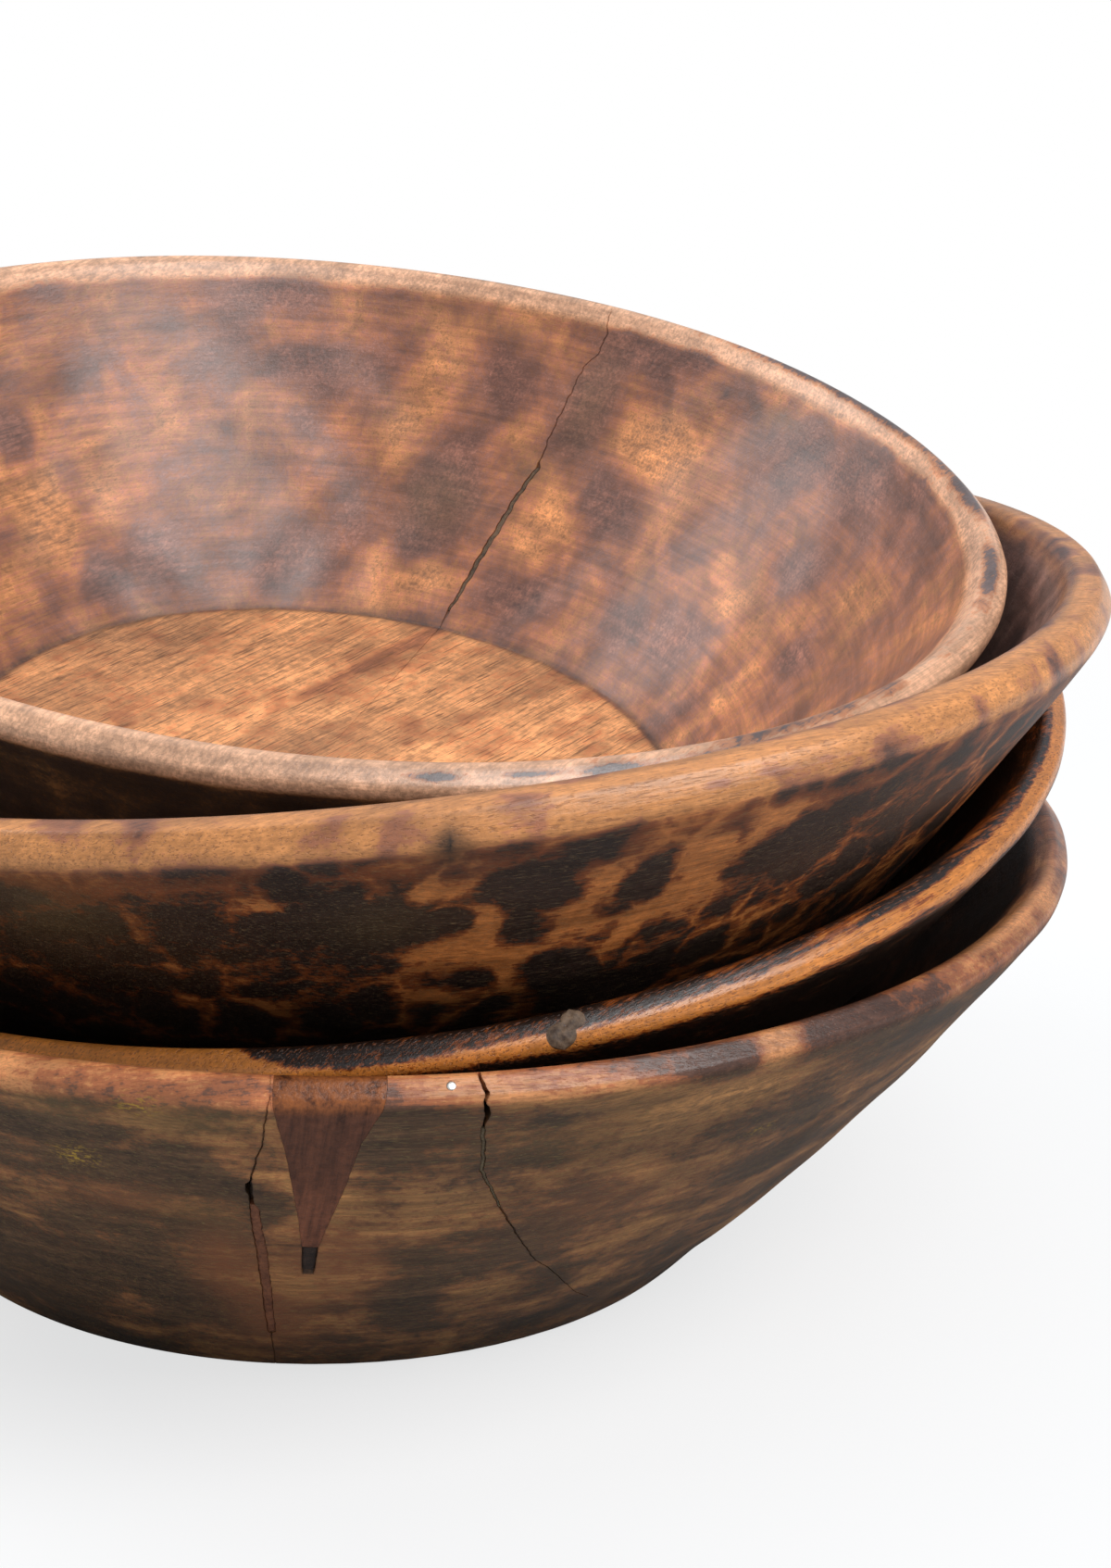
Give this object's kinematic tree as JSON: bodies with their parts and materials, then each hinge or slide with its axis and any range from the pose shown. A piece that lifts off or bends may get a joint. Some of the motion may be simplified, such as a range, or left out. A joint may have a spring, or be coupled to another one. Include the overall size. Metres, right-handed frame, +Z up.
{
  "type": "nest of dough bowls",
  "caption": "Nest of round hand-carved wooden dough bowls with flared walls, flat floors, rounded lips and old filled repairs; each bowl lifts out of the one below.",
  "frame": {"origin": "centre of the bottom bowl's flat base, on the surface it stands on", "axes": "+Z up along the bottom bowl's axis, -Y towards the side with the let-in patch, +X to the right seen from there"},
  "size_m": [0.463, 0.4671, 0.2657],
  "materials": {
    "bottom_wood": "oiled, satin",
    "patch_wood": "oiled, satin",
    "lower_wood": "oiled, satin",
    "upper_wood": "oiled, satin",
    "top_wood": "oiled, satin",
    "dark_filler": "matte",
    "red_filler": "matte",
    "grey_filler": "matte",
    "putty": "matte",
    "pin_steel": "worn bright"
  },
  "bodies": {
    "bottom": {"bottom_bowl": "bottom_wood", "rim_patch": "patch_wood", "patch_kerf_filler": "dark_filler", "seam_filler": "red_filler", "split_filler": "grey_filler", "rim_pin": "pin_steel"},
    "lower": {"lower_bowl": "lower_wood", "knot_filler": "putty"},
    "upper": {"upper_bowl": "upper_wood"},
    "top": {"top_bowl": "top_wood", "crack_filler": "dark_filler"}
  },
  "joints": [
    {"name": "lower_lift", "type": "slide", "parent": "bottom", "child": "lower", "axis": [0, 0, 1], "range_m": [0, 0.15]},
    {"name": "upper_lift", "type": "slide", "parent": "lower", "child": "upper", "axis": [0, 0, 1], "range_m": [0, 0.15]},
    {"name": "top_lift", "type": "slide", "parent": "upper", "child": "top", "axis": [0, 0, 1], "range_m": [0, 0.15]}
  ]
}
